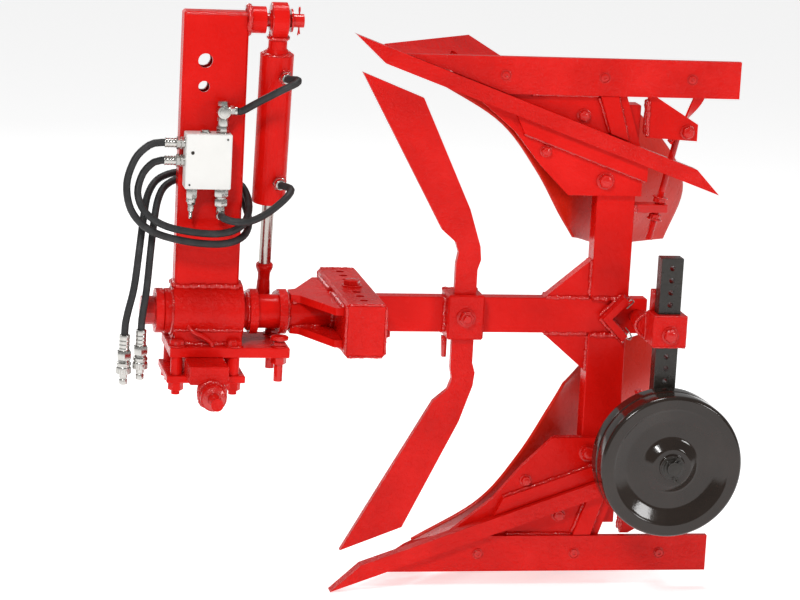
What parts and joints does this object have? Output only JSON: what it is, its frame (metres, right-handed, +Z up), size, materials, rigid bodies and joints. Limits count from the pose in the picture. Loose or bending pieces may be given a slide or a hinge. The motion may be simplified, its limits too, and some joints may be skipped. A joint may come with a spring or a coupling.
{
  "type": "reversible moldboard plough",
  "caption": "Mounted turnover plough: headstock with hydraulic cylinder, and mirrored upper and lower moldboard bodies, knife coulters and a swing-over depth wheel.",
  "frame": {"origin": "middle of the lower hitch pins' common axis, where the tractor's lower links hold the plough", "axes": "+Z up, +X to the rear of the plough, +Y to the furrow side, away from the unploughed land; the roll axis is parallel to X, 119 mm above the origin"},
  "size_m": [1.1028, 0.52, 1.0495],
  "materials": {
    "red_paint": "gloss paint over rough welds",
    "black_paint": "gloss",
    "white_block": "satin white",
    "zinc": "zinc plated",
    "chrome": "hard chrome",
    "hose_rubber": "satin"
  },
  "bodies": {
    "headstock": {"headstock_post": "red_paint", "cylinder_bracket": "red_paint", "cylinder_top_pin": "red_paint", "pivot_housing": "red_paint", "base_plate": "red_paint", "clamp_plate": "red_paint", "hitch_crossbar": "red_paint", "stop_bolt_near": "red_paint", "stop_bolt_far": "red_paint", "stop_bolt_nut_near": "red_paint", "stop_bolt_nut_far": "red_paint", "valve_block": "white_block", "upper_cylinder_hose": "hose_rubber", "lower_cylinder_hose": "hose_rubber", "supply_hose_left": "hose_rubber", "supply_hose_right": "hose_rubber", "coupler_left": "zinc", "coupler_right": "zinc"},
    "turnover": {"beam": "red_paint", "box_gusset_lower": "red_paint", "box_gusset_upper": "red_paint", "coulter_clamp": "red_paint", "cross_box": "red_paint", "lower_adjuster": "red_paint", "lower_bar_clip": "red_paint", "lower_bar_point": "red_paint", "lower_coulter": "red_paint", "lower_frog": "red_paint", "lower_knee_gusset": "red_paint", "lower_landside": "red_paint", "lower_moldboard": "red_paint", "lower_rear_arm": "red_paint", "lower_shank": "red_paint", "lower_share": "red_paint", "roll_shaft": "red_paint", "shaft_end_nut": "red_paint", "stop_angle": "red_paint", "turnover_crank": "red_paint", "upper_adjuster": "red_paint", "upper_bar_clip": "red_paint", "upper_bar_point": "red_paint", "upper_coulter": "red_paint", "upper_frog": "red_paint", "upper_knee_gusset": "red_paint", "upper_landside": "red_paint", "upper_moldboard": "red_paint", "upper_rear_arm": "red_paint", "upper_shank": "red_paint", "upper_share": "red_paint", "wheel_pivot_pin": "red_paint"},
    "cylinder_barrel": {"cylinder_barrel": "red_paint"},
    "cylinder_rod": {"cylinder_rod": "chrome"},
    "wheel_arm": {"wheel_arm": "red_paint", "wheel_leg": "black_paint", "wheel_axle": "black_paint"},
    "depth_wheel": {"depth_wheel": "black_paint"}
  },
  "joints": [
    {"name": "turnover", "type": "hinge", "parent": "headstock", "child": "turnover", "pos_m": [0, 0, 0.119], "axis": [1, 0, 0], "range_deg": [0, 180]},
    {"name": "cylinder_swing", "type": "hinge", "parent": "headstock", "child": "cylinder_barrel", "pos_m": [0.111, 0, 0.635], "axis": [1, 0, 0], "range_deg": [-12.5, 0], "deforming": ["upper_cylinder_hose", "lower_cylinder_hose"]},
    {"name": "rod_eye_pivot", "type": "hinge", "parent": "turnover", "child": "cylinder_rod", "pos_m": [0.111, 0.056, 0.119], "axis": [1, 0, 0], "range_deg": [-192.5, 0]},
    {"name": "wheel_swing", "type": "hinge", "parent": "turnover", "child": "wheel_arm", "pos_m": [0.782, -0.115, 0.119], "axis": [0, -1, 0], "range_deg": [0, 180]},
    {"name": "wheel_spin", "type": "hinge", "parent": "wheel_arm", "child": "depth_wheel", "pos_m": [0.811, -0.173, -0.1095], "axis": [0, 1, 0], "continuous": true}
  ],
  "couplings": [
    {"joint": "cylinder_swing", "follows": "turnover", "ratio": -0.068821},
    {"joint": "rod_eye_pivot", "follows": "turnover", "ratio": -1.0688}
  ]
}
